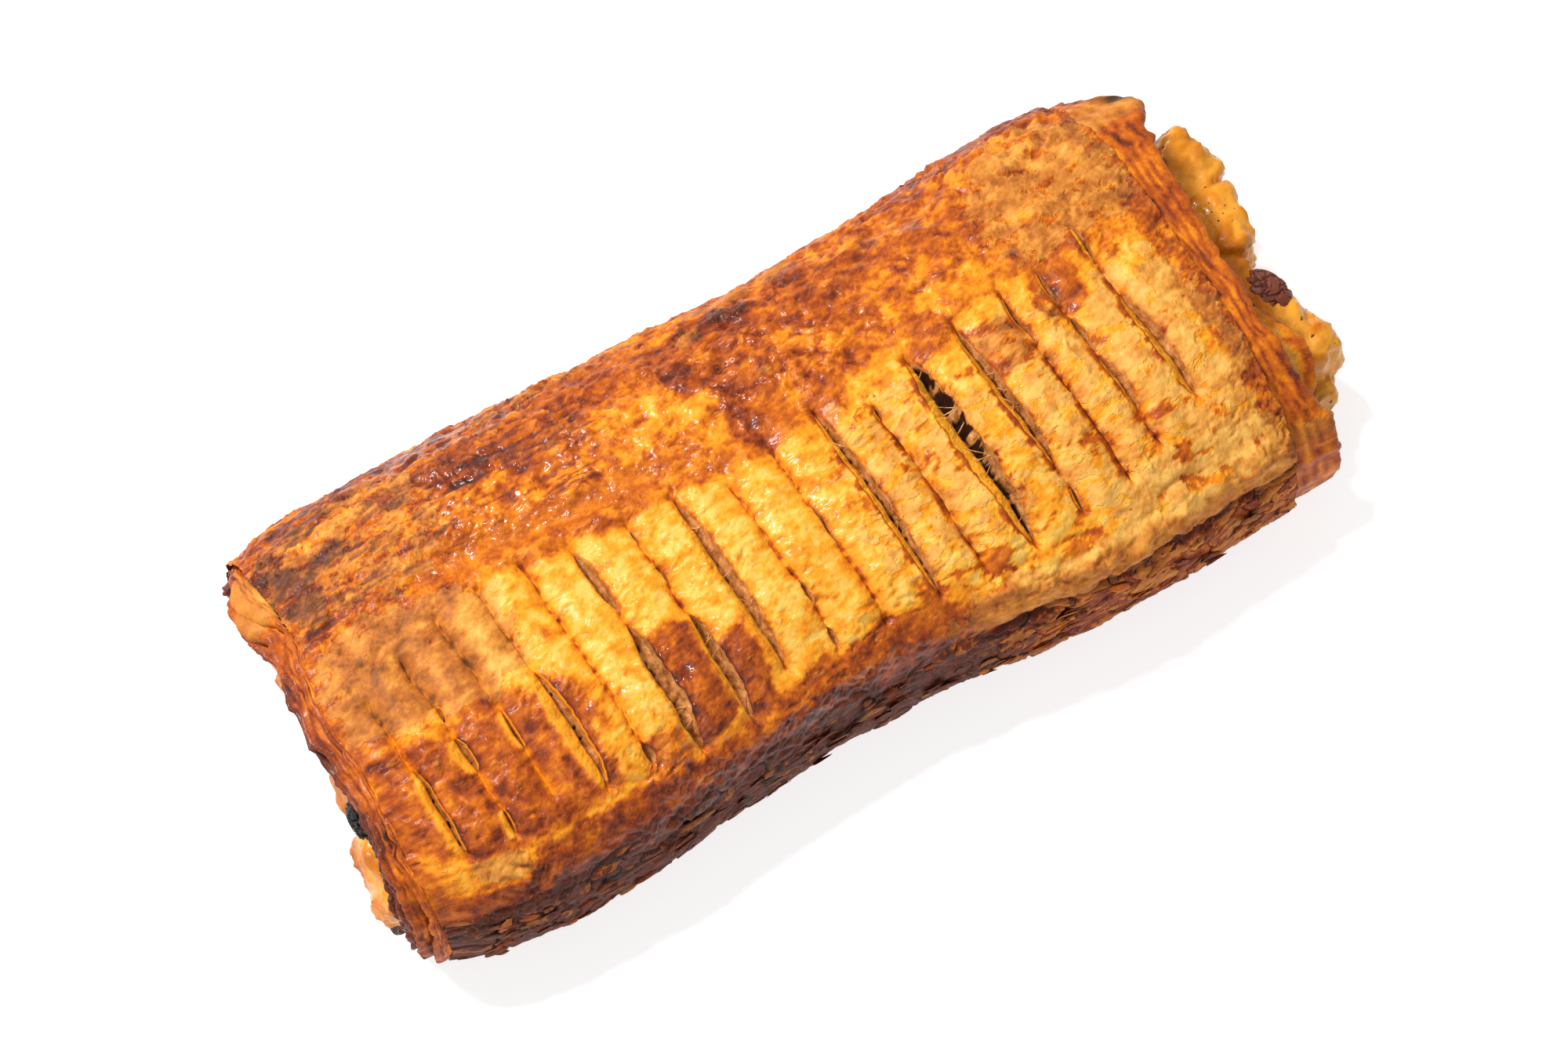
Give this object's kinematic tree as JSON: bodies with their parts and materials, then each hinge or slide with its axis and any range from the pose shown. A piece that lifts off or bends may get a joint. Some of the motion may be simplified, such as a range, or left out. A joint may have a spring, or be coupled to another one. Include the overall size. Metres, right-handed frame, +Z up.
{
  "type": "apple strudel",
  "caption": "Puff pastry roll with a slit top and flaky open ends, round a chunky apple filling with raisins.",
  "frame": {"origin": "middle of the whole object's box, on the resting face", "axes": "+X along the roll towards the end where more filling stands out, -Y towards the side nearer the slits, +Z up out of the slit top"},
  "size_m": [0.1812, 0.0818, 0.0376],
  "materials": {
    "pastry": "baked, glazed puff pastry, from golden yellow to dark brown",
    "filling": "moist cooked apple in clear jelly",
    "raisin_left": "charred black raisin",
    "raisin_right": "plump red-brown raisin"
  },
  "bodies": {
    "root": {"pastry": "pastry", "filling": "filling", "raisin_left": "raisin_left", "raisin_right": "raisin_right"}
  },
  "joints": []
}
